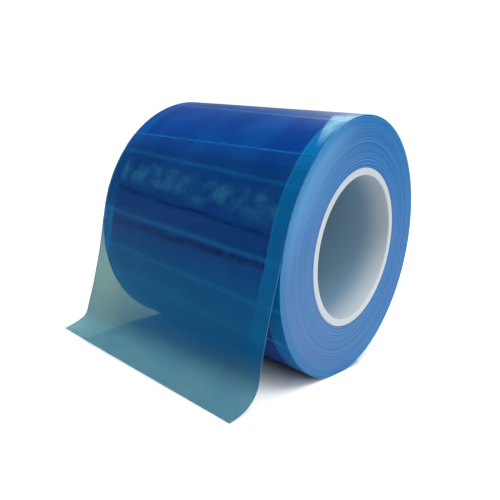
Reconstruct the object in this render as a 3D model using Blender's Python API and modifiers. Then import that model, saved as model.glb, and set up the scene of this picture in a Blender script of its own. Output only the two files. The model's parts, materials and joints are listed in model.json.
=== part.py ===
"""A roll of perforated protective film on a plastic core, lying on its side with its end hanging down.

World frame: X is the roll's axis, the loose end hangs on the -Y side, +Z is up, and the origin is the
point of the table under the middle of the roll. Angles round the roll are measured from +Y towards +Z.
"""

import math

import bmesh
import bpy
from mathutils import Matrix

# Driving dimensions, in metres.
FILM_WIDTH = 0.1016
ROLL_RADIUS = 0.0574
CORE_BORE_RADIUS = 0.03175
CORE_WALL = 0.00345
CORE_EDGE_CHAMFER = 0.0005
FILM_THICKNESS = 0.0003
GAP = 0.0003
SHEET_LENGTH = 0.105

# The first sheet leaves the roll along a tangent that leans out from the vertical. It hangs straight,
# bends outward near the table, and ends in a short tongue whose tip is just clear of the table.
HANG_LEAN = math.radians(3.3)
BEND_RADIUS = 0.013
TONGUE_LENGTH = 0.004
TONGUE_SLOPE = math.radians(8.0)
TABLE_CLEARANCE = 0.0002
JOINT_GAP = 0.0004

# The roll's own weight presses a narrow flat along its underside.
FLAT_HALF_ANGLE = math.radians(5.75)

FACET_ANGLE = math.radians(3.0)
BEND_FACETS = 6
CORE_STEPS = 96

CORE_OUTER_RADIUS = CORE_BORE_RADIUS + CORE_WALL
PACK_BORE_RADIUS = CORE_OUTER_RADIUS + GAP
PACK_RADIUS = ROLL_RADIUS - FILM_THICKNESS - GAP
FILM_RADIUS = ROLL_RADIUS - FILM_THICKNESS / 2
AXIS_HEIGHT = ROLL_RADIUS * math.cos(FLAT_HALF_ANGLE)
UNDERSIDE_ANGLE = -math.pi / 2
SMOOTH_ANGLE = math.radians(30.0)

# Where the first sheet leaves the roll, how it hangs, and the perforation it tears along.
PEEL_ANGLE = math.pi - HANG_LEAN
HANG_HEADING = math.pi / 2 - HANG_LEAN
BEND_TURN = HANG_HEADING - TONGUE_SLOPE
BEND_DROP = BEND_RADIUS * (math.cos(TONGUE_SLOPE) - math.cos(HANG_HEADING))
TONGUE_DROP = TONGUE_LENGTH * math.sin(TONGUE_SLOPE)
TIP_HEIGHT = FILM_THICKNESS / 2 + TABLE_CLEARANCE
PEEL_HEIGHT = AXIS_HEIGHT + FILM_RADIUS * math.sin(PEEL_ANGLE)
DROP_LENGTH = (PEEL_HEIGHT - TIP_HEIGHT - TONGUE_DROP - BEND_DROP) / math.cos(HANG_LEAN)
END_LENGTH = BEND_RADIUS * BEND_TURN + TONGUE_LENGTH
WRAP_LENGTH = SHEET_LENGTH - DROP_LENGTH - END_LENGTH
FIRST_PERFORATION = PEEL_ANGLE - WRAP_LENGTH / FILM_RADIUS

# Blender's local Z becomes world X, local X becomes world Y and local Y becomes world Z.
ALONG_ROLL = Matrix(((0, 0, 1), (1, 0, 0), (0, 1, 0))).to_euler()


def clear_scene():
    """Remove whatever the file starts with."""
    for item in list(bpy.data.objects):
        bpy.data.objects.remove(item, do_unlink=True)


def new_collection(name):
    """Make a collection in the scene."""
    collection = bpy.data.collections.new(name)
    bpy.context.scene.collection.children.link(collection)
    return collection


def new_material(name, colour, roughness, alpha=1.0):
    """Make a Principled material."""
    material = bpy.data.materials.new(name)
    material.use_nodes = True
    shader = material.node_tree.nodes["Principled BSDF"]
    shader.inputs["Base Color"].default_value = (*colour, 1.0)
    shader.inputs["Roughness"].default_value = roughness
    shader.inputs["Metallic"].default_value = 0.0
    shader.inputs["Alpha"].default_value = alpha
    return material


def add_part(name, data, material, collection, location):
    """Put a mesh or a curve into the scene with the roll's axis along X."""
    part = bpy.data.objects.new(name, data)
    data.materials.append(material)
    part.location = location
    part.rotation_euler = ALONG_ROLL
    collection.objects.link(part)
    return part


def flattened(radius, angle):
    """Return a point on the roll's section, (y, z) from the axis, with the flat on its underside."""
    floor = -radius * math.cos(FLAT_HALF_ANGLE)
    return radius * math.cos(angle), max(radius * math.sin(angle), floor)


def arc_angles(start, end):
    """Return even angles from start down to end, with the flat's two edges among them."""
    count = max(2, round(abs(start - end) / FACET_ANGLE))
    angles = [start + (end - start) * step / count for step in range(count + 1)]
    flat_edges = [UNDERSIDE_ANGLE - FLAT_HALF_ANGLE, UNDERSIDE_ANGLE + FLAT_HALF_ANGLE]
    inside = [edge for edge in flat_edges if min(start, end) < edge < max(start, end)]
    apart = [a for a in angles if all(abs(a - edge) > FACET_ANGLE / 2 for edge in inside)]
    off_flat = [a for a in apart if not inside or not inside[0] < a < inside[-1]]
    return sorted(off_flat + inside, reverse=start > end)


def smooth(part):
    """Shade a round part smooth and keep its edges sharp."""
    part.data.shade_smooth()
    part.data.set_sharp_from_angle(angle=SMOOTH_ANGLE)


def make_core(material, collection):
    """Turn the core tube about the roll's axis."""
    half = FILM_WIDTH / 2
    chamfer = CORE_EDGE_CHAMFER
    profile = [
        (CORE_OUTER_RADIUS, half - chamfer),
        (CORE_OUTER_RADIUS, -half + chamfer),
        (CORE_OUTER_RADIUS - chamfer, -half),
        (CORE_BORE_RADIUS + chamfer, -half),
        (CORE_BORE_RADIUS, -half + chamfer),
        (CORE_BORE_RADIUS, half - chamfer),
        (CORE_BORE_RADIUS + chamfer, half),
        (CORE_OUTER_RADIUS - chamfer, half),
    ]
    mesh = bpy.data.meshes.new("core_tube")
    shape = bmesh.new()
    corners = [shape.verts.new((radius, 0.0, along)) for radius, along in profile]
    for index, corner in enumerate(corners):
        shape.edges.new((corner, corners[(index + 1) % len(corners)]))
    shape.to_mesh(mesh)
    shape.free()
    core = add_part("core_tube", mesh, material, collection, (0.0, 0.0, AXIS_HEIGHT))
    turn = core.modifiers.new("Turn", "SCREW")
    turn.axis = "Z"
    turn.angle = 2 * math.pi
    turn.steps = CORE_STEPS
    turn.render_steps = CORE_STEPS
    turn.use_merge_vertices = True
    turn.merge_threshold = 0.00002
    turn.use_smooth_shade = False
    return core


def add_outline(curve, points):
    """Add one closed outline to a flat curve."""
    spline = curve.splines.new("POLY")
    spline.points.add(len(points) - 1)
    for target, (across, up) in zip(spline.points, points):
        target.co = (across, up, 0.0, 1.0)
    spline.use_cyclic_u = True


def make_pack(material, collection):
    """Extrude the ring of wound film under the outermost lap."""
    curve = bpy.data.curves.new("wound_film_pack", "CURVE")
    curve.dimensions = "2D"
    curve.fill_mode = "BOTH"
    curve.extrude = FILM_WIDTH / 2
    top = math.pi / 2
    outer = [flattened(PACK_RADIUS, a) for a in arc_angles(top + 2 * math.pi, top)[:-1]]
    turns = [2 * math.pi * step / CORE_STEPS for step in range(CORE_STEPS)]
    bore = [(PACK_BORE_RADIUS * math.cos(a), PACK_BORE_RADIUS * math.sin(a)) for a in turns]
    add_outline(curve, outer)
    add_outline(curve, bore)
    return add_part("wound_film_pack", curve, material, collection, (0.0, 0.0, AXIS_HEIGHT))


def make_film(name, path, pivot, material, collection):
    """Make a piece of film from its section, (y, z) from the roll's axis, with its origin at pivot."""
    mesh = bpy.data.meshes.new(name)
    shape = bmesh.new()
    local = [(across - pivot[0], up - pivot[1]) for across, up in path]
    corners = [shape.verts.new((across, up, -FILM_WIDTH / 2)) for across, up in local]
    lines = [shape.edges.new(pair) for pair in zip(corners, corners[1:])]
    swept = bmesh.ops.extrude_edge_only(shape, edges=lines)
    moved = [item for item in swept["geom"] if isinstance(item, bmesh.types.BMVert)]
    bmesh.ops.translate(shape, verts=moved, vec=(0.0, 0.0, FILM_WIDTH))
    shape.to_mesh(mesh)
    shape.free()
    location = (0.0, pivot[0], AXIS_HEIGHT + pivot[1])
    film = add_part(name, mesh, material, collection, location)
    smooth(film)
    thicken = film.modifiers.new("Thickness", "SOLIDIFY")
    thicken.thickness = FILM_THICKNESS
    thicken.offset = 0.0
    thicken.use_even_offset = True
    return film


def lap_path(start, end):
    """Return the section of a sheet that lies on the roll, clear of its neighbours at both ends."""
    inset = JOINT_GAP / 2 / FILM_RADIUS
    return [flattened(FILM_RADIUS, a) for a in arc_angles(start - inset, end + inset)]


def along(start, slope, distance):
    """Return the point that lies a distance down and away from the roll at a slope."""
    return start[0] - math.cos(slope) * distance, start[1] - math.sin(slope) * distance


def straight_path(start, slope, length):
    """Return a straight section, clear of its neighbours at both ends."""
    inset = JOINT_GAP / 2
    return [along(start, slope, inset), along(start, slope, length - inset)]


def bend_path(start, first_slope, turn):
    """Return an arc of the bend, in facets, as points from its start to its end."""
    facets = BEND_FACETS // 2
    stride = BEND_RADIUS * turn / facets
    path = [start]
    for facet in range(facets):
        slope = first_slope - turn * (facet + 0.5) / facets
        path.append(along(path[-1], slope, stride))
    return path


def clear_of_joint(path, at_start, at_end):
    """Shorten a section by half a joint's gap at the ends that meet a neighbour."""
    clear = list(path)
    if at_start:
        clear[0] = toward(path[0], path[1])
    if at_end:
        clear[-1] = toward(path[-1], path[-2])
    return clear


def toward(point, other):
    """Return the point half a joint's gap from one point on the way to another."""
    share = JOINT_GAP / 2 / math.dist(point, other)
    return point[0] + (other[0] - point[0]) * share, point[1] + (other[1] - point[1]) * share


def main():
    """Build the roll."""
    clear_scene()
    parts = new_collection("film_roll")
    white = new_material("core_plastic", (0.62, 0.67, 0.72), 0.45)
    wound = new_material("wound_film", (0.02, 0.13, 0.42), 0.35)
    film = new_material("loose_film", (0.06, 0.32, 0.55), 0.25, alpha=0.6)

    make_core(white, parts)
    make_pack(wound, parts)

    sheet_angle = SHEET_LENGTH / FILM_RADIUS
    second = FIRST_PERFORATION
    third = second - sheet_angle
    fourth = third - sheet_angle
    clearance = math.sqrt(2 * (FILM_THICKNESS + GAP) / ROLL_RADIUS)
    lap_end = PEEL_ANGLE + clearance - 2 * math.pi
    axis = (0.0, 0.0)
    make_film("film_sheet_2", lap_path(second, third), axis, film, parts)
    make_film("film_sheet_3", lap_path(third, fourth), axis, film, parts)
    make_film("film_sheet_4", lap_path(fourth, lap_end), axis, film, parts)

    perforation = flattened(FILM_RADIUS, FIRST_PERFORATION)
    peel = flattened(FILM_RADIUS, PEEL_ANGLE)
    bend = along(peel, HANG_HEADING, DROP_LENGTH)
    upper = bend_path(bend, HANG_HEADING, BEND_TURN / 2)
    middle = upper[-1]
    lower = bend_path(middle, HANG_HEADING - BEND_TURN / 2, BEND_TURN / 2)
    tongue = lower + [along(lower[-1], TONGUE_SLOPE, TONGUE_LENGTH)]
    wrap = lap_path(PEEL_ANGLE, FIRST_PERFORATION)
    drop = straight_path(peel, HANG_HEADING, DROP_LENGTH)
    make_film("film_sheet_1_wrap", wrap, perforation, film, parts)
    make_film("film_sheet_1_drop", drop, peel, film, parts)
    make_film("film_sheet_1_bend", clear_of_joint(upper, True, True), bend, film, parts)
    make_film("film_sheet_1_tongue", clear_of_joint(tongue, True, False), middle, film, parts)


main()
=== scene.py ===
"""Looks for a roll of perforated protective film: film, core, end faces, floor, light and camera.

Everything is in metres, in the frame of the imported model: X is the roll's axis, the loose end hangs on
the -Y side, +Z is up. Angles round the roll are measured from +Y towards +Z.
"""

import json
import math

import bmesh
import bpy
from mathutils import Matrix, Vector, noise


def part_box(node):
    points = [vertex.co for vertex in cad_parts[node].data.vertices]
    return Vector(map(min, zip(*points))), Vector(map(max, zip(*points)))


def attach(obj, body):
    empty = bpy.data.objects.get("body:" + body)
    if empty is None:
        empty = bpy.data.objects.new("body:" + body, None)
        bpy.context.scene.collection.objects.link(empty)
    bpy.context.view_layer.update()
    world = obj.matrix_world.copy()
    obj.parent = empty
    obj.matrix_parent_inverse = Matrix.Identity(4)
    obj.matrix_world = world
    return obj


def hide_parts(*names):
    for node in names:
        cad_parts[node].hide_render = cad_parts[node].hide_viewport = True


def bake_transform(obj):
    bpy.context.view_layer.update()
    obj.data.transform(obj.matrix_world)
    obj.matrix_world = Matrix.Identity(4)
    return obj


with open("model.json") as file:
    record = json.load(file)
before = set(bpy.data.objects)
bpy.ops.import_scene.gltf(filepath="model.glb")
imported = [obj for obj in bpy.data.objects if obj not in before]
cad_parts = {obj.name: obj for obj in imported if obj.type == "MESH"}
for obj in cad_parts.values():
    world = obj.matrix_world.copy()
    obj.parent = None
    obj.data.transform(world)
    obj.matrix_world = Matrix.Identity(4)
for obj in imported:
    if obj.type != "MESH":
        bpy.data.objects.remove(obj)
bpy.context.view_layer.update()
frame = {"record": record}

# ---------------------------------------------------------------------------------------------
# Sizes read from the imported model, and the few that the model's source also names.
# ---------------------------------------------------------------------------------------------
HINGES = {
    joint["name"]: Vector(joint["pos_m"])
    for joint in frame["record"]["behaviour"]["joints"]
}
core_low, core_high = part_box("core_tube")
pack_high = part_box("wound_film_pack")[1]
lap_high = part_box("film_sheet_2")[1]

HALF_WIDTH = pack_high.x
AXIS_HEIGHT = (core_low.z + core_high.z) / 2
CORE_RADIUS = (core_high.z - core_low.z) / 2
CORE_BORE = CORE_RADIUS - 0.00345
PACK_RADIUS = pack_high.z - AXIS_HEIGHT
PACK_BORE = CORE_RADIUS + 0.00005
FILM_THICKNESS = 0.0003
ROLL_RADIUS = lap_high.z - AXIS_HEIGHT
FILM_RADIUS = ROLL_RADIUS - FILM_THICKNESS / 2
FLAT_HALF_ANGLE = math.radians(5.75)
SHEET_LENGTH = 0.105
MARGIN = 0.0064
BEND_RADIUS = 0.013
TONGUE_SLOPE = math.radians(8.0)
TONGUE_LENGTH = 0.004
FILM_WIDTH = 2 * HALF_WIDTH


def angle_of(point):
    """Angle of a point round the roll, from +Y towards +Z."""
    return math.atan2(point.z - AXIS_HEIGHT, point.y)


PERFORATION = HINGES["sheet_lift"]
PEEL = HINGES["tail_swing"]
BEND = HINGES["bend_upper"]
MID_BEND = HINGES["bend_lower"]
FIRST_LINE = angle_of(PERFORATION)
PEEL_ANGLE = angle_of(PEEL) % (2 * math.pi)
WRAP_LENGTH = (PEEL_ANGLE - FIRST_LINE) * FILM_RADIUS
DROP_LENGTH = (BEND - PEEL).length
HANG_HEADING = math.atan2(PEEL.z - BEND.z, PEEL.y - BEND.y)
BEND_TURN = HANG_HEADING - TONGUE_SLOPE
BEND_LENGTH = BEND_RADIUS * BEND_TURN
LOOSE_LENGTH = WRAP_LENGTH + DROP_LENGTH + BEND_LENGTH + TONGUE_LENGTH
LINE_PITCH = SHEET_LENGTH / FILM_RADIUS

# ---------------------------------------------------------------------------------------------
# Camera. It comes first. It was fitted to the photograph's view of the roll, then rounded to a
# millimetre and a tenth of a degree.
# ---------------------------------------------------------------------------------------------
CAMERA_AT = Vector((0.156, -0.218, 0.090))
CAMERA_TILT = math.radians(85.4)
CAMERA_ROLL = math.radians(-8.0)
CAMERA_HEADING = math.radians(38.1)
CAMERA_LENS = 39.5
CAMERA_SHIFT = -0.1


def add_camera():
    """Make the camera."""
    data = bpy.data.cameras.new("camera")
    data.sensor_width = 36.0
    data.lens = CAMERA_LENS
    data.shift_y = CAMERA_SHIFT
    data.clip_start = 0.01
    data.clip_end = 50.0
    camera = bpy.data.objects.new("camera", data)
    camera.location = CAMERA_AT
    camera.rotation_euler = (CAMERA_TILT, CAMERA_ROLL, CAMERA_HEADING)
    bpy.context.scene.collection.objects.link(camera)
    bpy.context.scene.camera = camera


add_camera()


# ---------------------------------------------------------------------------------------------
# Node helpers
# ---------------------------------------------------------------------------------------------
class Tree:
    """Builds one material's nodes. A value is a number, a colour or an output socket."""

    def __init__(self, name):
        self.material = bpy.data.materials.new(name)
        self.material.use_nodes = True
        self.nodes = self.material.node_tree.nodes
        self.links = self.material.node_tree.links
        self.nodes.clear()

    def put(self, socket, value):
        """Link a value to a socket, or set it there."""
        if isinstance(value, bpy.types.NodeSocket):
            self.links.new(value, socket)
        elif isinstance(value, tuple) and len(value) == 3 and socket.type == "RGBA":
            socket.default_value = (*value, 1.0)
        else:
            socket.default_value = value

    def math(self, operation, *values, clamp=False):
        """Arithmetic on one, two or three values."""
        node = self.nodes.new("ShaderNodeMath")
        node.operation = operation
        node.use_clamp = clamp
        for socket, value in zip(node.inputs, values):
            self.put(socket, value)
        return node.outputs[0]

    def add(self, a, b):
        """Sum."""
        return self.math("ADD", a, b)

    def times(self, a, b):
        """Product."""
        return self.math("MULTIPLY", a, b)

    def either(self, a, b):
        """The larger of two values."""
        return self.math("MAXIMUM", a, b)

    def step(self, value, low, high, start=0.0, end=1.0):
        """A smooth step from start at low to end at high."""
        node = self.nodes.new("ShaderNodeMapRange")
        node.interpolation_type = "SMOOTHSTEP"
        for name, number in (
            ("Value", value),
            ("From Min", low),
            ("From Max", high),
            ("To Min", start),
            ("To Max", end),
        ):
            self.put(node.inputs[name], number)
        return node.outputs[0]

    def line(self, value, middle, half_width, soft):
        """1 within half_width of middle, falling to 0 over soft."""
        off = self.math("ABSOLUTE", self.math("SUBTRACT", value, middle))
        return self.step(off, half_width, half_width + soft, 1.0, 0.0)

    def mix(self, factor, a, b, blend="MIX"):
        """Mix two colours."""
        node = self.nodes.new("ShaderNodeMix")
        node.data_type = "RGBA"
        node.blend_type = blend
        self.put(node.inputs["Factor"], factor)
        self.put(node.inputs[6], a)
        self.put(node.inputs[7], b)
        return node.outputs[2]

    def vector(self, x, y, z):
        """A vector from three values."""
        node = self.nodes.new("ShaderNodeCombineXYZ")
        for socket, value in zip(node.inputs, (x, y, z)):
            self.put(socket, value)
        return node.outputs[0]

    def noise(self, vector, scale, detail=2.0, rough=0.5):
        """Fractal noise, 0 to 1."""
        node = self.nodes.new("ShaderNodeTexNoise")
        self.put(node.inputs["Vector"], vector)
        node.inputs["Scale"].default_value = scale
        node.inputs["Detail"].default_value = detail
        node.inputs["Roughness"].default_value = rough
        return node.outputs["Fac"]

    def spots(self, vector, scale):
        """Distance to the nearest of a set of scattered points."""
        node = self.nodes.new("ShaderNodeTexVoronoi")
        self.put(node.inputs["Vector"], vector)
        node.inputs["Scale"].default_value = scale
        return node.outputs["Distance"]

    def place(self):
        """Across the film and round the roll, in metres, from the mesh's own map."""
        uv = self.nodes.new("ShaderNodeUVMap")
        uv.uv_map = "film"
        split = self.nodes.new("ShaderNodeSeparateXYZ")
        self.links.new(uv.outputs[0], split.inputs[0])
        return split.outputs[0], split.outputs[1]

    def solid_place(self):
        """Position on the object at rest, in metres."""
        node = self.nodes.new("ShaderNodeTexCoord")
        split = self.nodes.new("ShaderNodeSeparateXYZ")
        self.links.new(node.outputs["Object"], split.inputs[0])
        return node.outputs["Object"], split.outputs

    def bump(self, height, distance):
        """A bumped normal."""
        node = self.nodes.new("ShaderNodeBump")
        node.inputs["Distance"].default_value = distance
        self.put(node.inputs["Height"], height)
        return node.outputs[0]

    def principled(self, colour, roughness, normal=None, **fixed):
        """The surface shader. Fixed values go straight on its sockets."""
        node = self.nodes.new("ShaderNodeBsdfPrincipled")
        self.put(node.inputs["Base Color"], colour)
        self.put(node.inputs["Roughness"], roughness)
        if normal is not None:
            self.put(node.inputs["Normal"], normal)
        for name, value in fixed.items():
            node.inputs[name.replace("_", " ")].default_value = value
        return node.outputs[0]

    def out(self, surface):
        """Finish the material."""
        node = self.nodes.new("ShaderNodeOutputMaterial")
        self.links.new(surface, node.inputs["Surface"])
        return self.material


# ---------------------------------------------------------------------------------------------
# Materials
# ---------------------------------------------------------------------------------------------
FILM_GLOSS = (0.35, 0.65, 1.0, 1.0)

# Film on the roll
DEEP_BLUE = (0.0005, 0.028, 0.165)
SOFT_BLUE = (0.001, 0.042, 0.205)
BAND_BLUE = (0.002, 0.075, 0.25)
STRIPE_BLUE = (0.0, 0.03, 0.14)
SPECKLE_BLUE = (0.004, 0.10, 0.30)
# Painted light: a paler tone for the crest of the roll, where light from above falls on it.
CREST_LIGHT_BLUE = (0.006, 0.075, 0.175)
MARGIN_BLUE = (0.001, 0.105, 0.285)
LINE_BLUE = (0.006, 0.160, 0.360)
# Painted highlight: the pale glare in the right margin near the top of the roll.
MARGIN_GLARE_BLUE = (0.19, 0.42, 0.52)

# The same film where the hanging film covers it, painted lighter to make up for the light the hanging
# film takes away
COVERED_MARGIN_LIT_BLUE = (0.004, 0.21, 0.44)
COVERED_LINE_LIT_BLUE = (0.006, 0.24, 0.50)

# Loose film, and what passes through it to the eye and from a lamp
CLINGING_DEEP = (0.0015, 0.027, 0.145)
CLINGING_SOFT = (0.003, 0.041, 0.175)
TAIL_BLUE = (0.002, 0.092, 0.262)
# Painted light: the paler end of the hanging film, where it turns to face the light from above.
TAIL_END_SHEEN_BLUE = (0.035, 0.19, 0.36)
LOOSE_SPECKLE_BLUE = (0.02, 0.16, 0.36)
LOOSE_MARGIN_BLUE = (0.001, 0.105, 0.30)
POCKET_BLUE = (0.022, 0.13, 0.25)
FOLD_BLUE = (0.0, 0.007, 0.038)
TINT_TO_EYE = (0.605, 0.71, 0.480)
TINT_FROM_LAMP = (0.93, 0.96, 0.98)

# Cut ends of the layers
END_DEEP = (0.003, 0.086, 0.265)
END_SOFT = (0.006, 0.104, 0.290)
END_RING_PALE = (0.060, 0.225, 0.44)
END_RING_DARK = (0.002, 0.052, 0.205)
# Painted reflection: a whitish veil on the -Y side of the end faces.
END_FRONT_VEIL = (0.110, 0.185, 0.33)
END_GRAIN = (0.06, 0.18, 0.36)
# Painted highlight on the upper -Y part of the end faces.
END_PAINTED_SHEEN = (0.085, 0.27, 0.47)
END_OUTER = (0.008, 0.125, 0.31)
END_RIM = (0.045, 0.29, 0.50)

# Cut edge of the film, core and floor
CUT_DARK = (0.020, 0.115, 0.19)
CUT_PALE = (0.035, 0.145, 0.22)
CORE_DULL = (0.37, 0.40, 0.43)
CORE_PALE = (0.42, 0.45, 0.47)
CORE_DRAWN = (0.34, 0.37, 0.40)
CORE_BORE_SHADE = (0.140, 0.250, 0.335)
FLOOR_PALE = (0.86, 0.87, 0.88)
FLOOR_DULL = (0.82, 0.83, 0.85)

# Lines seen in the photograph, measured there and rounded to a degree: (degrees round the roll,
# strength). The film runs a little askew, and one skew from the left end to the right stands for all.
LINE_SKEW = 4.0
SEEN_LINES = ((114, 0.5), (153, 0.5), (182, 0.7), (200, 0.7), (217, 0.6))

# Lines of the hanging film, in the same measure carried on along the film.
FILM_LINES = ((182, 0.5), (198, 0.5), (209, 0.4))

# Perforations under the outermost lap that show through it, counted in pitches from the first.
BURIED_LINES = (4, 5, 8, 9)

MARGIN_START = HALF_WIDTH - MARGIN


def arc(degrees):
    """Distance that an angle spans round the outermost film."""
    return math.radians(degrees) * FILM_RADIUS


def round_line(tree, across, round_roll, angle, skew, half_width, soft):
    """A line across the film at an angle round the roll, askew by a few degrees from end to end."""
    slope = arc(skew) / (2 * MARGIN_START)
    tilted = tree.add(tree.times(across, -slope), round_roll)
    return tree.line(tilted, arc(angle), half_width, soft)


def left_side(tree, across, amount):
    """An amount on the left half of the film, fading to 0 on the right."""
    return tree.step(across, -0.01, 0.01, amount, 0.0)


def film_lines(tree, across, round_roll):
    """Perforations of this lap and of the laps under it, as a value from 0 to 1."""
    wander = tree.times(tree.add(tree.noise(tree.vector(across, 0.3, 0.0), 40.0), -0.5), 0.0008)
    at = tree.add(round_roll, wander)
    total = 0.0
    for step in range(3):
        angle = math.degrees((FIRST_LINE - LINE_PITCH * step) % (2 * math.pi))
        one = round_line(tree, across, at, angle, 0.0, 0.0002, 0.0006)
        total = tree.either(total, tree.times(one, 0.65))
    for step in BURIED_LINES:
        angle = math.degrees((FIRST_LINE - LINE_PITCH * step) % (2 * math.pi))
        one = round_line(tree, across, at, angle, LINE_SKEW, 0.0004, 0.0009)
        total = tree.either(total, tree.times(one, 0.5))
    for angle, strength in SEEN_LINES:
        one = round_line(tree, across, at, angle, LINE_SKEW, 0.0004, 0.0011)
        total = tree.either(total, tree.times(one, strength))
    breaks = tree.noise(tree.vector(across, tree.times(round_roll, 0.2), 0.4), 160.0, 2.0)
    return tree.times(total, tree.step(breaks, 0.25, 0.6, 0.45, 1.0))


def margin_shown(tree, across, round_roll):
    """How plainly the dry margins show: the left one is faint on the upper front of the roll."""
    start, end = arc(85.0), arc(184.0)
    fade = 0.2 * FILM_RADIUS
    faint = tree.times(
        tree.step(round_roll, start, start + fade), tree.step(round_roll, end - fade, end, 1.0, 0.0)
    )
    faint = tree.times(faint, left_side(tree, across, 0.8))
    return tree.math("SUBTRACT", 1.0, faint)


def margin_glare(tree, across, round_roll):
    """A painted highlight: a pale glare in the right margin near the top of the roll, as a value from 0
    to 1.
    """
    past = tree.math("SUBTRACT", round_roll, arc(119.0))
    glare = tree.times(tree.step(past, -0.012, -0.008), tree.step(past, 0.006, 0.019, 1.0, 0.0))
    inner = tree.add(tree.times(past, 0.26), MARGIN_START - 0.0015)
    glare = tree.times(glare, tree.step(tree.math("SUBTRACT", across, inner), -0.0003, 0.0010))
    glare = tree.times(glare, tree.step(across, HALF_WIDTH - 0.0022, HALF_WIDTH - 0.0006, 1.0, 0.35))
    drawn_out = tree.noise(tree.vector(across, tree.times(round_roll, 0.3), 5.0), 420.0, 2.0)
    return tree.times(glare, tree.step(drawn_out, 0.2, 0.7, 0.35, 1.0))


def wound_colour(tree, across, round_roll):
    """Colour and height of the tightly wound film, with painted light: a glare in the right margin, a
    paler crest, and lighter margin and lines where the hanging film covers them.
    """
    where = tree.vector(across, round_roll, 0.0)
    edge = tree.math("ABSOLUTE", across)
    shown = margin_shown(tree, across, round_roll)
    margin = tree.times(tree.step(edge, MARGIN_START - 0.0008, MARGIN_START + 0.0004), shown)
    margin_line = tree.times(tree.line(edge, MARGIN_START, 0.0002, 0.0005), shown)
    stripes = tree.noise(tree.vector(across, tree.times(round_roll, 0.02), 0.0), 700.0, 3.0)
    bands = tree.noise(tree.vector(across, tree.times(round_roll, 0.05), 2.0), 90.0, 1.0)
    cloud = tree.noise(where, 45.0, 3.0, 0.55)
    speckle = tree.noise(where, 1300.0, 2.0, 0.7)
    lines = film_lines(tree, across, round_roll)
    covered = tree.step(round_roll, (math.pi - 0.05) * FILM_RADIUS, (math.pi + 0.02) * FILM_RADIUS)
    under = tree.step(round_roll, 4.2 * FILM_RADIUS, 4.8 * FILM_RADIUS, 1.0, 0.0)
    covered_margin = tree.times(tree.times(covered, left_side(tree, across, 1.0)), under)

    colour = tree.mix(tree.step(cloud, 0.35, 0.7), DEEP_BLUE, SOFT_BLUE)
    colour = tree.mix(tree.step(bands, 0.5, 0.62, 0.0, 0.2), colour, BAND_BLUE)
    colour = tree.mix(tree.step(stripes, 0.5, 0.7, 0.0, 0.4), colour, STRIPE_BLUE)
    colour = tree.mix(tree.step(speckle, 0.62, 0.72, 0.0, 0.25), colour, SPECKLE_BLUE)
    # Painted light: margin and lines are drawn lighter where the hanging film covers them, to make up
    # for the light it takes away.
    margin_tone = tree.mix(covered_margin, MARGIN_BLUE, COVERED_MARGIN_LIT_BLUE)
    colour = tree.mix(tree.times(margin, 0.9), colour, margin_tone)
    line_tone = tree.mix(covered, LINE_BLUE, COVERED_LINE_LIT_BLUE)
    colour = tree.mix(tree.times(lines, 0.65), colour, line_tone)
    colour = tree.mix(tree.times(margin_line, 0.45), colour, LINE_BLUE)
    # Painted highlight: a pale glare in the right margin near the top of the roll.
    glare = margin_glare(tree, across, round_roll)
    colour = tree.mix(tree.times(glare, 0.7), colour, MARGIN_GLARE_BLUE)
    # Painted light: the crest of the roll, lit from above, is drawn a little paler.
    crest_light = tree.step(round_roll, arc(108.0), arc(116.0), 1.0, 0.0)
    colour = tree.mix(tree.times(crest_light, 0.2), colour, CREST_LIGHT_BLUE)
    height = tree.add(tree.times(stripes, 0.3), tree.times(cloud, 0.7))
    height = tree.add(height, tree.times(lines, 0.8))
    return colour, height


def make_wound_material():
    """Tightly wound film: deep blue where many layers lie under it, lighter in the dry margins."""
    tree = Tree("wound_film_blue")
    across, round_roll = tree.place()
    colour, height = wound_colour(tree, across, round_roll)
    shine = tree.principled(
        colour,
        tree.step(height, 0.2, 0.8, 0.26, 0.4),
        tree.bump(height, 0.00012),
        Specular_IOR_Level=0.04,
        Specular_Tint=FILM_GLOSS,
    )
    return tree.out(shine)


def from_axis(tree, y, z):
    """Distance from the roll's axis, and height above it."""
    height = tree.math("SUBTRACT", z, AXIS_HEIGHT)
    return tree.math("SQRT", tree.add(tree.times(y, y), tree.times(height, height))), height


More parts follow.
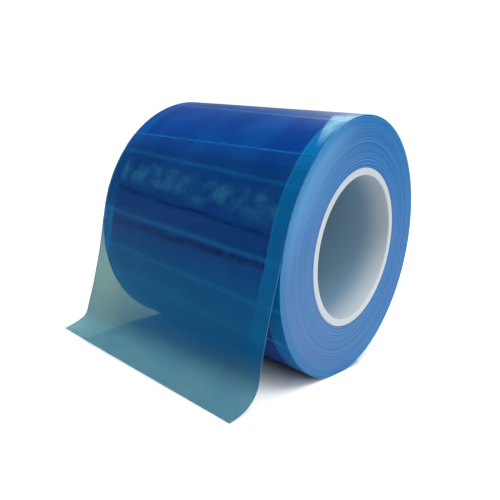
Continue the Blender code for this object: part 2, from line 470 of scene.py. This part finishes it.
def make_end_material():
    """The cut ends of the wound layers: pale blue, with fine rings, a painted whitish reflection on the
    -Y side and a painted highlight towards the top on that side.
    """
    tree = Tree("wound_film_ends")
    whole, (x, y, z) = tree.solid_place()
    radius, above = from_axis(tree, y, z)
    rings = tree.noise(tree.vector(radius, 0.0, 0.0), 1500.0, 3.0, 0.65)
    bands = tree.noise(tree.vector(radius, 0.5, 0.0), 260.0, 2.0, 0.5)
    fine = tree.noise(tree.vector(radius, 0.9, 0.0), 6500.0, 1.0, 0.5)
    cloud = tree.noise(whole, 22.0, 2.0)
    grain = tree.noise(whole, 1700.0, 2.0, 0.7)
    # Painted reflection: a patchy whitish veil over the -Y side of the end face.
    front_veil = tree.step(tree.add(y, tree.times(z, 0.35)), -0.035, 0.055, 0.8, 0.0)
    front_veil = tree.times(front_veil, tree.step(cloud, 0.25, 0.7, 0.5, 1.0))
    front_veil = tree.times(front_veil, tree.step(z, 0.0, 0.045, 0.7, 1.0))
    upper = tree.add(tree.times(above, 0.5), tree.times(y, -0.85))
    outer = tree.step(radius, PACK_RADIUS - 0.005, PACK_RADIUS - 0.0005)
    rim = tree.step(radius, PACK_RADIUS - 0.0004, PACK_RADIUS, 0.0, 0.8)

    colour = tree.mix(tree.step(bands, 0.35, 0.65), END_DEEP, END_SOFT)
    colour = tree.mix(tree.step(rings, 0.52, 0.60, 0.0, 0.75), colour, END_RING_PALE)
    colour = tree.mix(tree.step(rings, 0.48, 0.38, 0.0, 0.7), colour, END_RING_DARK)
    colour = tree.mix(tree.times(front_veil, 0.6), colour, END_FRONT_VEIL)
    colour = tree.mix(tree.step(grain, 0.55, 0.75, 0.0, 0.25), colour, END_GRAIN)
    # Painted highlight: a paler sheen on the upper -Y part of the end face.
    colour = tree.mix(tree.step(upper, 0.036, 0.054, 0.0, 0.55), colour, END_PAINTED_SHEEN)
    colour = tree.mix(tree.times(outer, 0.6), colour, END_OUTER)
    colour = tree.mix(rim, colour, END_RIM)
    height = tree.add(tree.times(rings, 0.7), tree.times(fine, 0.3))
    return tree.out(
        tree.principled(colour, 0.45, tree.bump(height, 0.00009), Specular_IOR_Level=0.12)
    )


def air_pockets(tree, across, along):
    """A row of soft pale patches where the film has just let go of the roll, from 0 to 1."""
    row = round_line(tree, across, along, 163.0, LINE_SKEW, 0.0020, 0.0080)
    blotch = tree.noise(tree.vector(across, along, 9.0), 120.0, 2.0, 0.5)
    mottle = tree.noise(tree.vector(across, along, 0.0), 620.0, 2.0, 0.6)
    pockets = tree.step(tree.add(blotch, tree.times(row, 0.2)), 0.54, 0.84)
    pockets = tree.times(tree.times(pockets, row), tree.step(mottle, 0.35, 0.6, 0.45, 1.0))
    grains = tree.spots(tree.vector(across, along, 7.0), 640.0)
    dotted = round_line(tree, across, along, 161.0, 6.0, 0.007, 0.008)
    dots = tree.times(tree.step(grains, 0.14, 0.24, 1.0, 0.0), dotted)
    return tree.either(pockets, tree.times(dots, 0.4))


def dark_folds(tree, across, along, wander):
    """Two ragged folds below the pockets, from 0 to 1."""
    at = tree.add(along, tree.times(wander, 2.0))
    ragged = tree.noise(tree.vector(across, along, 0.0), 330.0, 2.0, 0.7)
    ragged = tree.step(tree.step(ragged, 0.42, 0.60), 0.0, 1.0, 0.5, 1.0)
    upper = tree.times(round_line(tree, across, at, 172.0, 6.0, 0.0003, 0.0010), ragged)
    lower = round_line(tree, across, at, 185.5, 1.0, 0.0003, 0.0022)
    lower = tree.times(lower, tree.step(across, -0.05, 0.035, 0.7, 1.0))
    return tree.either(tree.times(upper, 0.8), tree.times(lower, ragged))


def make_loose_material():
    """One layer of see-through film. Where it still clings to the roll it takes the roll's colour."""
    tree = Tree("loose_film_blue")
    across, along = tree.place()
    where = tree.vector(across, along, 0.0)
    edge = tree.math("ABSOLUTE", across)
    first_at = FIRST_LINE * FILM_RADIUS
    peel_at = first_at + WRAP_LENGTH
    held = tree.step(along, first_at + 0.001, first_at + 0.018, 0.85, 0.0)
    free = tree.step(along, peel_at + 0.004, peel_at + 0.034)
    turned = tree.step(along, peel_at + 0.045, peel_at + 0.068)
    wound = wound_colour(tree, across, along)[0]
    shown = margin_shown(tree, across, along)
    margin = tree.step(edge, MARGIN_START - 0.0006, MARGIN_START + 0.0004)
    off_margin = tree.step(margin, 0.0, 1.0, 1.0, 0.0)
    margin_line = tree.times(tree.line(edge, MARGIN_START, 0.00015, 0.0004), shown)
    cloud = tree.noise(where, 60.0, 3.0, 0.6)
    speckle = tree.noise(where, 1100.0, 2.0, 0.7)
    streaks = tree.noise(tree.vector(across, tree.times(along, 0.05), 0.0), 500.0, 2.0)

    wander = tree.times(tree.add(tree.noise(tree.vector(across, 0.3, 0.0), 60.0, 3.0), -0.5), 0.0016)
    at = tree.add(along, wander)
    lines = tree.times(round_line(tree, across, at, 153.0, LINE_SKEW, 0.0003, 0.0012), 0.3)
    for angle, strength in FILM_LINES:
        one = round_line(tree, across, at, angle, LINE_SKEW, 0.0004, 0.0012)
        lines = tree.either(lines, tree.times(one, strength))
    pockets = tree.times(air_pockets(tree, across, along), off_margin)
    dark = tree.times(dark_folds(tree, across, along, wander), off_margin)

    colour = tree.mix(cloud, CLINGING_DEEP, CLINGING_SOFT)
    colour = tree.mix(free, colour, TAIL_BLUE)
    colour = tree.mix(tree.step(speckle, 0.6, 0.75, 0.0, 0.12), colour, LOOSE_SPECKLE_BLUE)
    colour = tree.mix(tree.times(tree.times(margin, shown), 0.75), colour, LOOSE_MARGIN_BLUE)
    colour = tree.mix(tree.times(lines, 0.55), colour, LINE_BLUE)
    colour = tree.mix(tree.times(margin_line, 0.5), colour, LINE_BLUE)
    # Painted light: the film is drawn paler where it turns towards the floor and faces the light from
    # above.
    colour = tree.mix(tree.times(turned, 0.5), colour, TAIL_END_SHEEN_BLUE)
    colour = tree.mix(tree.times(pockets, 0.65), colour, POCKET_BLUE)
    colour = tree.mix(dark, colour, FOLD_BLUE)
    colour = tree.mix(held, colour, wound)

    # How solid the film looks. Lamps shine through it more freely than the eye does.
    body = tree.step(cloud, 0.3, 0.7, 0.42, 0.48)
    body = tree.add(body, tree.step(free, 0.0, 1.0, 0.12, 0.0))
    body = tree.add(body, tree.times(dark, 0.3))
    body = tree.either(body, held)
    lamp = tree.nodes.new("ShaderNodeLightPath").outputs["Is Shadow Ray"]
    body = tree.times(body, tree.step(lamp, 0.0, 1.0, 1.0, 0.2))
    tint = tree.mix(lamp, TINT_TO_EYE, TINT_FROM_LAMP)

    height = tree.add(tree.times(cloud, 0.3), tree.times(streaks, 0.06))
    height = tree.add(height, tree.times(pockets, 0.5))
    height = tree.add(height, tree.times(dark, 1.2))
    shine = tree.principled(
        colour,
        tree.step(cloud, 0.3, 0.7, 0.22, 0.34),
        tree.bump(height, 0.00008),
        Specular_IOR_Level=0.12,
        Specular_Tint=FILM_GLOSS,
    )
    clear = tree.nodes.new("ShaderNodeBsdfTransparent")
    tree.put(clear.inputs["Color"], tint)
    both = tree.nodes.new("ShaderNodeMixShader")
    tree.put(both.inputs[0], body)
    tree.links.new(clear.outputs[0], both.inputs[1])
    tree.links.new(shine, both.inputs[2])
    return tree.out(both.outputs[0])


def make_seam_material():
    """The inner faces where two lengths of the same sheet meet, which don't show."""
    tree = Tree("film_seam_unseen")
    clear = tree.nodes.new("ShaderNodeBsdfTransparent")
    return tree.out(clear.outputs[0])


def make_edge_material():
    """The cut edge of the film, which gathers a little light."""
    tree = Tree("film_cut_edge")
    grain = tree.noise(tree.solid_place()[0], 900.0, 2.0)
    colour = tree.mix(grain, CUT_DARK, CUT_PALE)
    roughness = tree.step(grain, 0.3, 0.7, 0.35, 0.5)
    return tree.out(
        tree.principled(colour, roughness, tree.bump(grain, 0.00003), Specular_IOR_Level=0.3)
    )


def make_core_material():
    """Moulded white plastic, with painted shade inside the bore, deepest away from its ends."""
    tree = Tree("core_white_plastic")
    whole, (x, y, z) = tree.solid_place()
    radius = from_axis(tree, y, z)[0]
    drawn = tree.noise(tree.vector(tree.times(x, 0.06), y, z), 260.0, 2.0)
    speckle = tree.noise(whole, 1500.0, 2.0, 0.6)
    cloud = tree.noise(whole, 18.0, 2.0)
    inside = tree.step(radius, CORE_BORE + 0.0001, CORE_BORE + 0.0005, 1.0, 0.0)
    bore_shade_depth = tree.step(tree.math("ABSOLUTE", x), 0.034, 0.0505, 1.0, 0.1)
    colour = tree.mix(cloud, CORE_DULL, CORE_PALE)
    colour = tree.mix(tree.times(drawn, 0.25), colour, CORE_DRAWN)
    # Painted shade inside the bore, strongest in the middle of its length.
    colour = tree.mix(tree.times(tree.times(inside, bore_shade_depth), 0.95), colour, CORE_BORE_SHADE)
    height = tree.add(tree.times(drawn, 0.5), tree.times(speckle, 0.5))
    roughness = tree.step(speckle, 0.3, 0.7, 0.34, 0.46)
    return tree.out(
        tree.principled(colour, roughness, tree.bump(height, 0.00005), Specular_IOR_Level=0.4)
    )


# ---------------------------------------------------------------------------------------------
# Meshes
# ---------------------------------------------------------------------------------------------
def smoothstep(value, low, high):
    """A smooth step from 0 at low to 1 at high."""
    share = min(1.0, max(0.0, (value - low) / (high - low)))
    return share * share * (3 - 2 * share)


def finish_mesh(name, shape, materials):
    """Turn a bmesh into an object with smooth shading."""
    mesh = bpy.data.meshes.new(name)
    shape.normal_update()
    shape.to_mesh(mesh)
    shape.free()
    for material in materials:
        mesh.materials.append(material)
    mesh.shade_smooth()
    mesh.set_sharp_from_angle(angle=math.radians(35))
    piece = bpy.data.objects.new(name, mesh)
    bpy.context.scene.collection.objects.link(piece)
    return piece


def roll_point(radius, angle, floor):
    """A point of the roll's section as (y, z), pressed flat where it would pass below floor."""
    y = radius * math.cos(angle)
    z = max(radius * math.sin(angle), floor)
    return y, AXIS_HEIGHT + z


def spread(start, end, count):
    """Evenly spaced values, both ends included."""
    return [start + (end - start) * step / count for step in range(count + 1)]


def film_piece(name, outer, inner, columns, rows, materials, to_map, cut_ends=(True, True)):
    """A thin solid sheet between two surfaces, each a function of (across, along).

    to_map turns a row's value into metres round the roll, and cut_ends says which ends are cut edges.
    """
    shape = bmesh.new()
    layer = shape.loops.layers.uv.new("film")
    sides = []
    place = {}
    for surface in (outer, inner):
        grid = []
        for along in rows:
            line = []
            for across in columns:
                vertex = shape.verts.new(surface(across, along))
                place[vertex] = (across, to_map(along))
                line.append(vertex)
            grid.append(line)
        sides.append(grid)
    front, back = sides
    last_row, last_column = len(rows) - 1, len(columns) - 1

    def face(corners, index):
        made = shape.faces.new(corners)
        made.material_index = index
        made.smooth = True

    for row in range(last_row):
        for column in range(last_column):
            ring = [(row, column), (row, column + 1), (row + 1, column + 1), (row + 1, column)]
            face([front[r][c] for r, c in ring], 0)
            face([back[r][c] for r, c in reversed(ring)], 0)
        for column in (0, last_column):
            corners = [front[row][column], front[row + 1][column]]
            corners += [back[row + 1][column], back[row][column]]
            face(corners if column == 0 else corners[::-1], 1)
    for row, cut in ((0, cut_ends[0]), (last_row, cut_ends[1])):
        for column in range(last_column):
            corners = [front[row][column + 1], front[row][column]]
            corners += [back[row][column], back[row][column + 1]]
            face(corners if row == 0 else corners[::-1], 1 if cut else 2)
    for made in shape.faces:
        for loop in made.loops:
            loop[layer].uv = place[loop.vert]
    bmesh.ops.recalc_face_normals(shape, faces=shape.faces)
    return finish_mesh(name, shape, materials)


LAP_INSET = 0.0001
LAP_WAVE = 0.00006


def lap_piece(name, node, start, end, materials):
    """One wound sheet of the outermost lap."""
    floor_out = -ROLL_RADIUS * math.cos(FLAT_HALF_ANGLE)
    floor_in = floor_out + FILM_THICKNESS
    inset = LAP_INSET / FILM_RADIUS
    count = max(24, round(abs(start - end) / math.radians(1.25)))
    rows = spread(start - inset, end + inset, count)

    def outer(across, angle):
        lift = LAP_WAVE * noise.noise(Vector((across * 60, angle * 3.4, 0.5)))
        y, z = roll_point(ROLL_RADIUS + lift, angle, floor_out)
        return Vector((across, y, z))

    def inner(across, angle):
        y, z = roll_point(ROLL_RADIUS - FILM_THICKNESS, angle, floor_in)
        return Vector((across, y, z))

    columns = spread(-HALF_WIDTH, HALF_WIDTH, 40)
    piece = film_piece(
        name,
        outer,
        inner,
        columns,
        rows,
        materials,
        to_map=lambda angle: (angle % (2 * math.pi)) * FILM_RADIUS,
    )
    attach(piece, "roll")
    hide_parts(node)


# The hanging film, worked out from the photograph with the fitted camera and then rounded. Its two
# edges turn out by different amounts.
END_STEP = 0.0001
LEFT_END = {"turn": math.radians(52), "radius": 0.0045, "slope": math.radians(17), "height": 0.0013}
RIGHT_END = {"turn": math.radians(46), "radius": 0.0105, "slope": math.radians(6), "height": 0.0004}
END_SLANT = 0.0035
SIDE_LEAN = 0.0011

# A shallow crease crosses the film just above the line where it leaves the roll.
FOLD_LEVEL = -0.0028
FOLD_SLOPE = 0.06
FOLD_HEIGHT = 0.00025


def hanging_path(share):
    """Points (y, z, heading) of the hanging part below the peel line, END_STEP apart.

    share is 0 at the film's left edge and 1 at its right. The film drops straight, turns sharply, then
    flattens out towards the floor. The drop is as long as brings the end down to its height.
    """
    end = {key: LEFT_END[key] * (1 - share) + RIGHT_END[key] * share for key in LEFT_END}
    length = DROP_LENGTH + BEND_LENGTH + TONGUE_LENGTH - END_SLANT * (1 - share)
    first = end["radius"] * end["turn"]
    rest = HANG_HEADING - end["turn"] - end["slope"]

    def walk(drop):
        y, z, heading = PEEL.y, PEEL.z, HANG_HEADING
        points = [(y, z, heading)]
        for step in range(round(length / END_STEP)):
            past = (step + 0.5) * END_STEP - drop
            sharp = min(1.0, max(0.0, past / first))
            slow = min(1.0, max(0.0, (past - first) / (length - drop - first)))
            turned = end["turn"] * sharp + rest * math.sin(slow * math.pi / 2)
            heading = HANG_HEADING - turned
            y -= math.cos(heading) * END_STEP
            z -= math.sin(heading) * END_STEP
            points.append((y, z, heading))
        return points

    low, high = DROP_LENGTH * 0.8, length - first - 0.004
    for _ in range(16):
        drop = (low + high) / 2
        if walk(drop)[-1][1] > end["height"]:
            low = drop
        else:
            high = drop
    return walk(drop)


HANGING_PATHS = {}


def film_section(along, across=0.0):
    """Middle line of the loose sheet: ((y, z), (outward y, outward z)) at a distance along it."""
    if along <= WRAP_LENGTH:
        angle = FIRST_LINE + along / FILM_RADIUS
        out = (math.cos(angle), math.sin(angle))
        return (FILM_RADIUS * out[0], AXIS_HEIGHT + FILM_RADIUS * out[1]), out
    share = round(across / FILM_WIDTH + 0.5, 6)
    if share not in HANGING_PATHS:
        HANGING_PATHS[share] = hanging_path(share)
    path = HANGING_PATHS[share]
    at = (along - WRAP_LENGTH) / (LOOSE_LENGTH - WRAP_LENGTH) * (len(path) - 1)
    index = min(int(at), len(path) - 2)
    here, after = path[index], path[index + 1]
    part = at - index
    y, z, heading = (a + (b - a) * part for a, b in zip(here, after))
    return (y, z), (-math.sin(heading), math.cos(heading))


FILM_WAVE = 0.0006
FILM_RIPPLE = 0.0001
CREASE_WANDER = 0.0012
CREASE_WIDTH = 0.0011
BACK_CLEARANCE = 0.00003


def loose_surface(side):
    """A surface of the loose sheet, half its thickness to one side of the middle line."""

    def surface(across, along):
        share = across / FILM_WIDTH
        (y, z), out = film_section(along, across)
        hung = smoothstep(along, WRAP_LENGTH, WRAP_LENGTH + 0.03)
        settled = 1 - smoothstep(along, LOOSE_LENGTH - 0.03, LOOSE_LENGTH - 0.012)
        wave = noise.noise(Vector((across * 22, along * 16, 1.7)))
        lift = hung * settled * (2 * SIDE_LEAN * share + FILM_WAVE * wave)
        ripple = noise.noise(Vector((across * 75, along * 75, 4.2)))
        on_roll = 1 - smoothstep(along, WRAP_LENGTH, WRAP_LENGTH + 0.01)
        lift += FILM_RIPPLE * on_roll * max(0.0, ripple)
        crease = WRAP_LENGTH + FOLD_LEVEL + FOLD_SLOPE * across + CREASE_WANDER * wave
        from_crease = (along - crease) / CREASE_WIDTH
        lift += FOLD_HEIGHT * (0.6 + 0.4 * ripple) * math.exp(-(from_crease**2))
        lift += side * FILM_THICKNESS / 2
        lift += BACK_CLEARANCE * on_roll if side < 0 else 0.0
        return Vector((across, y + out[0] * lift, z + out[1] * lift))

    return surface


ROW_LENGTH = 0.0011


def loose_piece(name, nodes, start, end, cut_ends, materials):
    """Part of the loose sheet, from start to end along it."""
    count = max(8, round((end - start) / ROW_LENGTH))
    rows = spread(start, end, count)
    columns = spread(-HALF_WIDTH, HALF_WIDTH, 64)
    piece = film_piece(
        name,
        loose_surface(1),
        loose_surface(-1),
        columns,
        rows,
        materials,
        to_map=lambda along: along + FIRST_LINE * FILM_RADIUS,
        cut_ends=cut_ends,
    )
    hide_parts(*nodes)
    return piece


def section_at(along):
    """A point of the loose sheet's middle line, on the roll's middle plane."""
    return Vector((0.0, *film_section(along)[0]))


def length_at_height(height):
    """How far along the loose sheet its middle line comes down to a height."""
    along = WRAP_LENGTH
    while film_section(along)[0][1] > height:
        along += END_STEP
    return along


LAYER_DIP = 0.00007


def make_pack(materials):
    """The wound film under the outermost lap: a ring whose end faces show the layers."""
    shape = bmesh.new()
    layer = shape.loops.layers.uv.new("film")
    steps, face_rows, barrel_rows = 288, 44, 12
    profile = []
    for side in (1, -1):
        radii = spread(PACK_BORE, PACK_RADIUS, face_rows)
        for index, radius in enumerate(radii if side == 1 else radii[::-1]):
            wave = noise.noise(Vector((radius * 900, side * 3.0, 0.0)))
            dip = LAYER_DIP * (1 + wave)
            at_rim = index == (face_rows if side == 1 else 0)
            profile.append((side * (HALF_WIDTH - (0.0 if at_rim else dip)), radius))
        if side == 1:
            barrel = spread(HALF_WIDTH, -HALF_WIDTH, barrel_rows)
            profile += [(x, PACK_RADIUS) for x in barrel[1:-1]]
    floor = -PACK_RADIUS * math.cos(FLAT_HALF_ANGLE)
    rings = []
    for step in range(steps):
        angle = 2 * math.pi * step / steps
        ring = []
        for x, radius in profile:
            y, z = roll_point(radius, angle, floor)
            ring.append(shape.verts.new((x, y, z)))
        rings.append(ring)
    count = len(profile)
    for step in range(steps):
        ring, after = rings[step], rings[(step + 1) % steps]
        for index in range(count):
            following = (index + 1) % count
            corners = (ring[index], after[index], after[following], ring[following])
            made = shape.faces.new(corners)
            on_barrel = face_rows <= index < face_rows + barrel_rows
            made.material_index = 0 if on_barrel else 1
            for loop in made.loops:
                turn = step if loop.vert in ring else step + 1
                loop[layer].uv = (loop.vert.co.x, 2 * math.pi * turn / steps * FILM_RADIUS)
    bmesh.ops.recalc_face_normals(shape, faces=shape.faces)
    piece = finish_mesh("wound_film", shape, materials)
    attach(piece, "roll")
    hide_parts("wound_film_pack")


def make_core(material):
    """The core tube, with rounded rims."""
    shape = bmesh.new()
    rim = 0.0006
    profile = []
    for side in (1, -1):
        corners = [(CORE_BORE + rim, math.pi), (CORE_RADIUS - rim, math.pi / 2)]
        if side == -1:
            corners = [(CORE_RADIUS - rim, 0.0), (CORE_BORE + rim, -math.pi / 2)]
        for radius, first in corners:
            for step in range(7):
                turn = first - math.pi / 2 * step / 6
                across = side * (HALF_WIDTH - rim) + rim * math.sin(turn)
                profile.append((across, radius + rim * math.cos(turn)))
    steps = 192
    rings = []
    for step in range(steps):
        angle = 2 * math.pi * step / steps
        rings.append(
            [
                shape.verts.new((x, r * math.cos(angle), AXIS_HEIGHT + r * math.sin(angle)))
                for x, r in profile
            ]
        )
    count = len(profile)
    for step in range(steps):
        ring, after = rings[step], rings[(step + 1) % steps]
        for index in range(count):
            following = (index + 1) % count
            shape.faces.new((ring[index], after[index], after[following], ring[following]))
    bmesh.ops.recalc_face_normals(shape, faces=shape.faces)
    piece = finish_mesh("core", shape, [material])
    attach(piece, "roll")
    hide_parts("core_tube")


# ---------------------------------------------------------------------------------------------
# The object
# ---------------------------------------------------------------------------------------------
wound = make_wound_material()
ends = make_end_material()
loose = make_loose_material()
cut_edge = make_edge_material()

make_core(make_core_material())
make_pack([wound, ends])

# The lap closes where the straight hanging film has moved two thicknesses away from the roll.
clearance = math.sqrt(2 * 2 * FILM_THICKNESS / ROLL_RADIUS)
stops = [FIRST_LINE - LINE_PITCH * step for step in range(4)]
stops[3] = PEEL_ANGLE + clearance - 2 * math.pi
for index in range(3):
    lap_piece(
        f"lap_film_{index + 2}",
        f"film_sheet_{index + 2}",
        stops[index],
        stops[index + 1],
        [wound, ends],
    )

# The loose sheet is split where both sides of the split move as one body.
SHEET_GAP = 0.0002
SPLIT_BELOW_BEND = 0.0032
PEEL_BLEND = 0.012
BEND_BLEND = 0.0055
TONGUE_BLEND = (0.0015, 0.0085)
upper_end = WRAP_LENGTH + DROP_LENGTH / 2
middle_end = length_at_height((BEND.z + MID_BEND.z) / 2 - SPLIT_BELOW_BEND)
films = [loose, cut_edge, make_seam_material()]
upper = loose_piece(
    "loose_film_upper",
    ["film_sheet_1_wrap", "film_sheet_1_drop"],
    SHEET_GAP,
    upper_end,
    (True, False),
    films,
)
middle = loose_piece(
    "loose_film_middle", ["film_sheet_1_bend"], upper_end, middle_end, (False, False), films
)
lower = loose_piece(
    "loose_film_end", ["film_sheet_1_tongue"], middle_end, LOOSE_LENGTH, (False, True), films
)
section_at(WRAP_LENGTH)
section_at(WRAP_LENGTH + PEEL_BLEND)
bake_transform(upper)
section_at(length_at_height(BEND.z))
section_at(length_at_height(BEND.z - BEND_BLEND))
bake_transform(middle)
section_at(middle_end + TONGUE_BLEND[0])
section_at(middle_end + TONGUE_BLEND[1])
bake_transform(lower)


def add_floor():
    """A plain pale floor."""
    mesh = bpy.data.meshes.new("floor")
    size = 6.0
    corners = [(-size, -size), (size, -size), (size, size), (-size, size)]
    mesh.from_pydata([(x, y, -0.0001) for x, y in corners], [], [(0, 1, 2, 3)])
    tree = Tree("floor_white")
    paper = tree.noise(tree.solid_place()[0], 400.0, 2.0)
    colour = tree.mix(tree.times(paper, 0.3), FLOOR_PALE, FLOOR_DULL)
    mesh.materials.append(tree.out(tree.principled(colour, 0.75, Specular_IOR_Level=0.2)))
    floor = bpy.data.objects.new("floor", mesh)
    bpy.context.scene.collection.objects.link(floor)


def add_sun(name, toward, strength, spread_angle):
    """A broad, even light that comes from a direction."""
    data = bpy.data.lights.new(name, "SUN")
    data.energy = strength
    data.angle = math.radians(spread_angle)
    light = bpy.data.objects.new(name, data)
    light.matrix_world = Vector(toward).to_track_quat("Z", "Y").to_matrix().to_4x4()
    bpy.context.scene.collection.objects.link(light)


def add_world():
    """Even white surroundings."""
    world = bpy.data.worlds.new("studio")
    world.use_nodes = True
    nodes, links = world.node_tree.nodes, world.node_tree.links
    nodes.clear()
    path = nodes.new("ShaderNodeLightPath")
    seen = nodes.new("ShaderNodeBackground")
    seen.inputs[0].default_value = (1, 1, 1, 1)
    seen.inputs[1].default_value = 1.05
    felt = nodes.new("ShaderNodeBackground")
    felt.inputs[0].default_value = (0.88, 0.94, 1.0, 1)
    felt.inputs[1].default_value = 0.4
    both = nodes.new("ShaderNodeMixShader")
    links.new(path.outputs["Is Camera Ray"], both.inputs[0])
    links.new(felt.outputs[0], both.inputs[1])
    links.new(seen.outputs[0], both.inputs[2])
    out = nodes.new("ShaderNodeOutputWorld")
    links.new(both.outputs[0], out.inputs[0])
    bpy.context.scene.world = world


add_floor()
add_world()
add_sun("above", (0.25, -0.22, 1.0), 2.8, 35.0)
add_sun("right", (0.85, -0.45, 0.6), 1.5, 40.0)
add_sun("behind", (-0.46, 0.8, 0.85), 1.8, 6.0)
bpy.context.scene.view_settings.view_transform = "Standard"
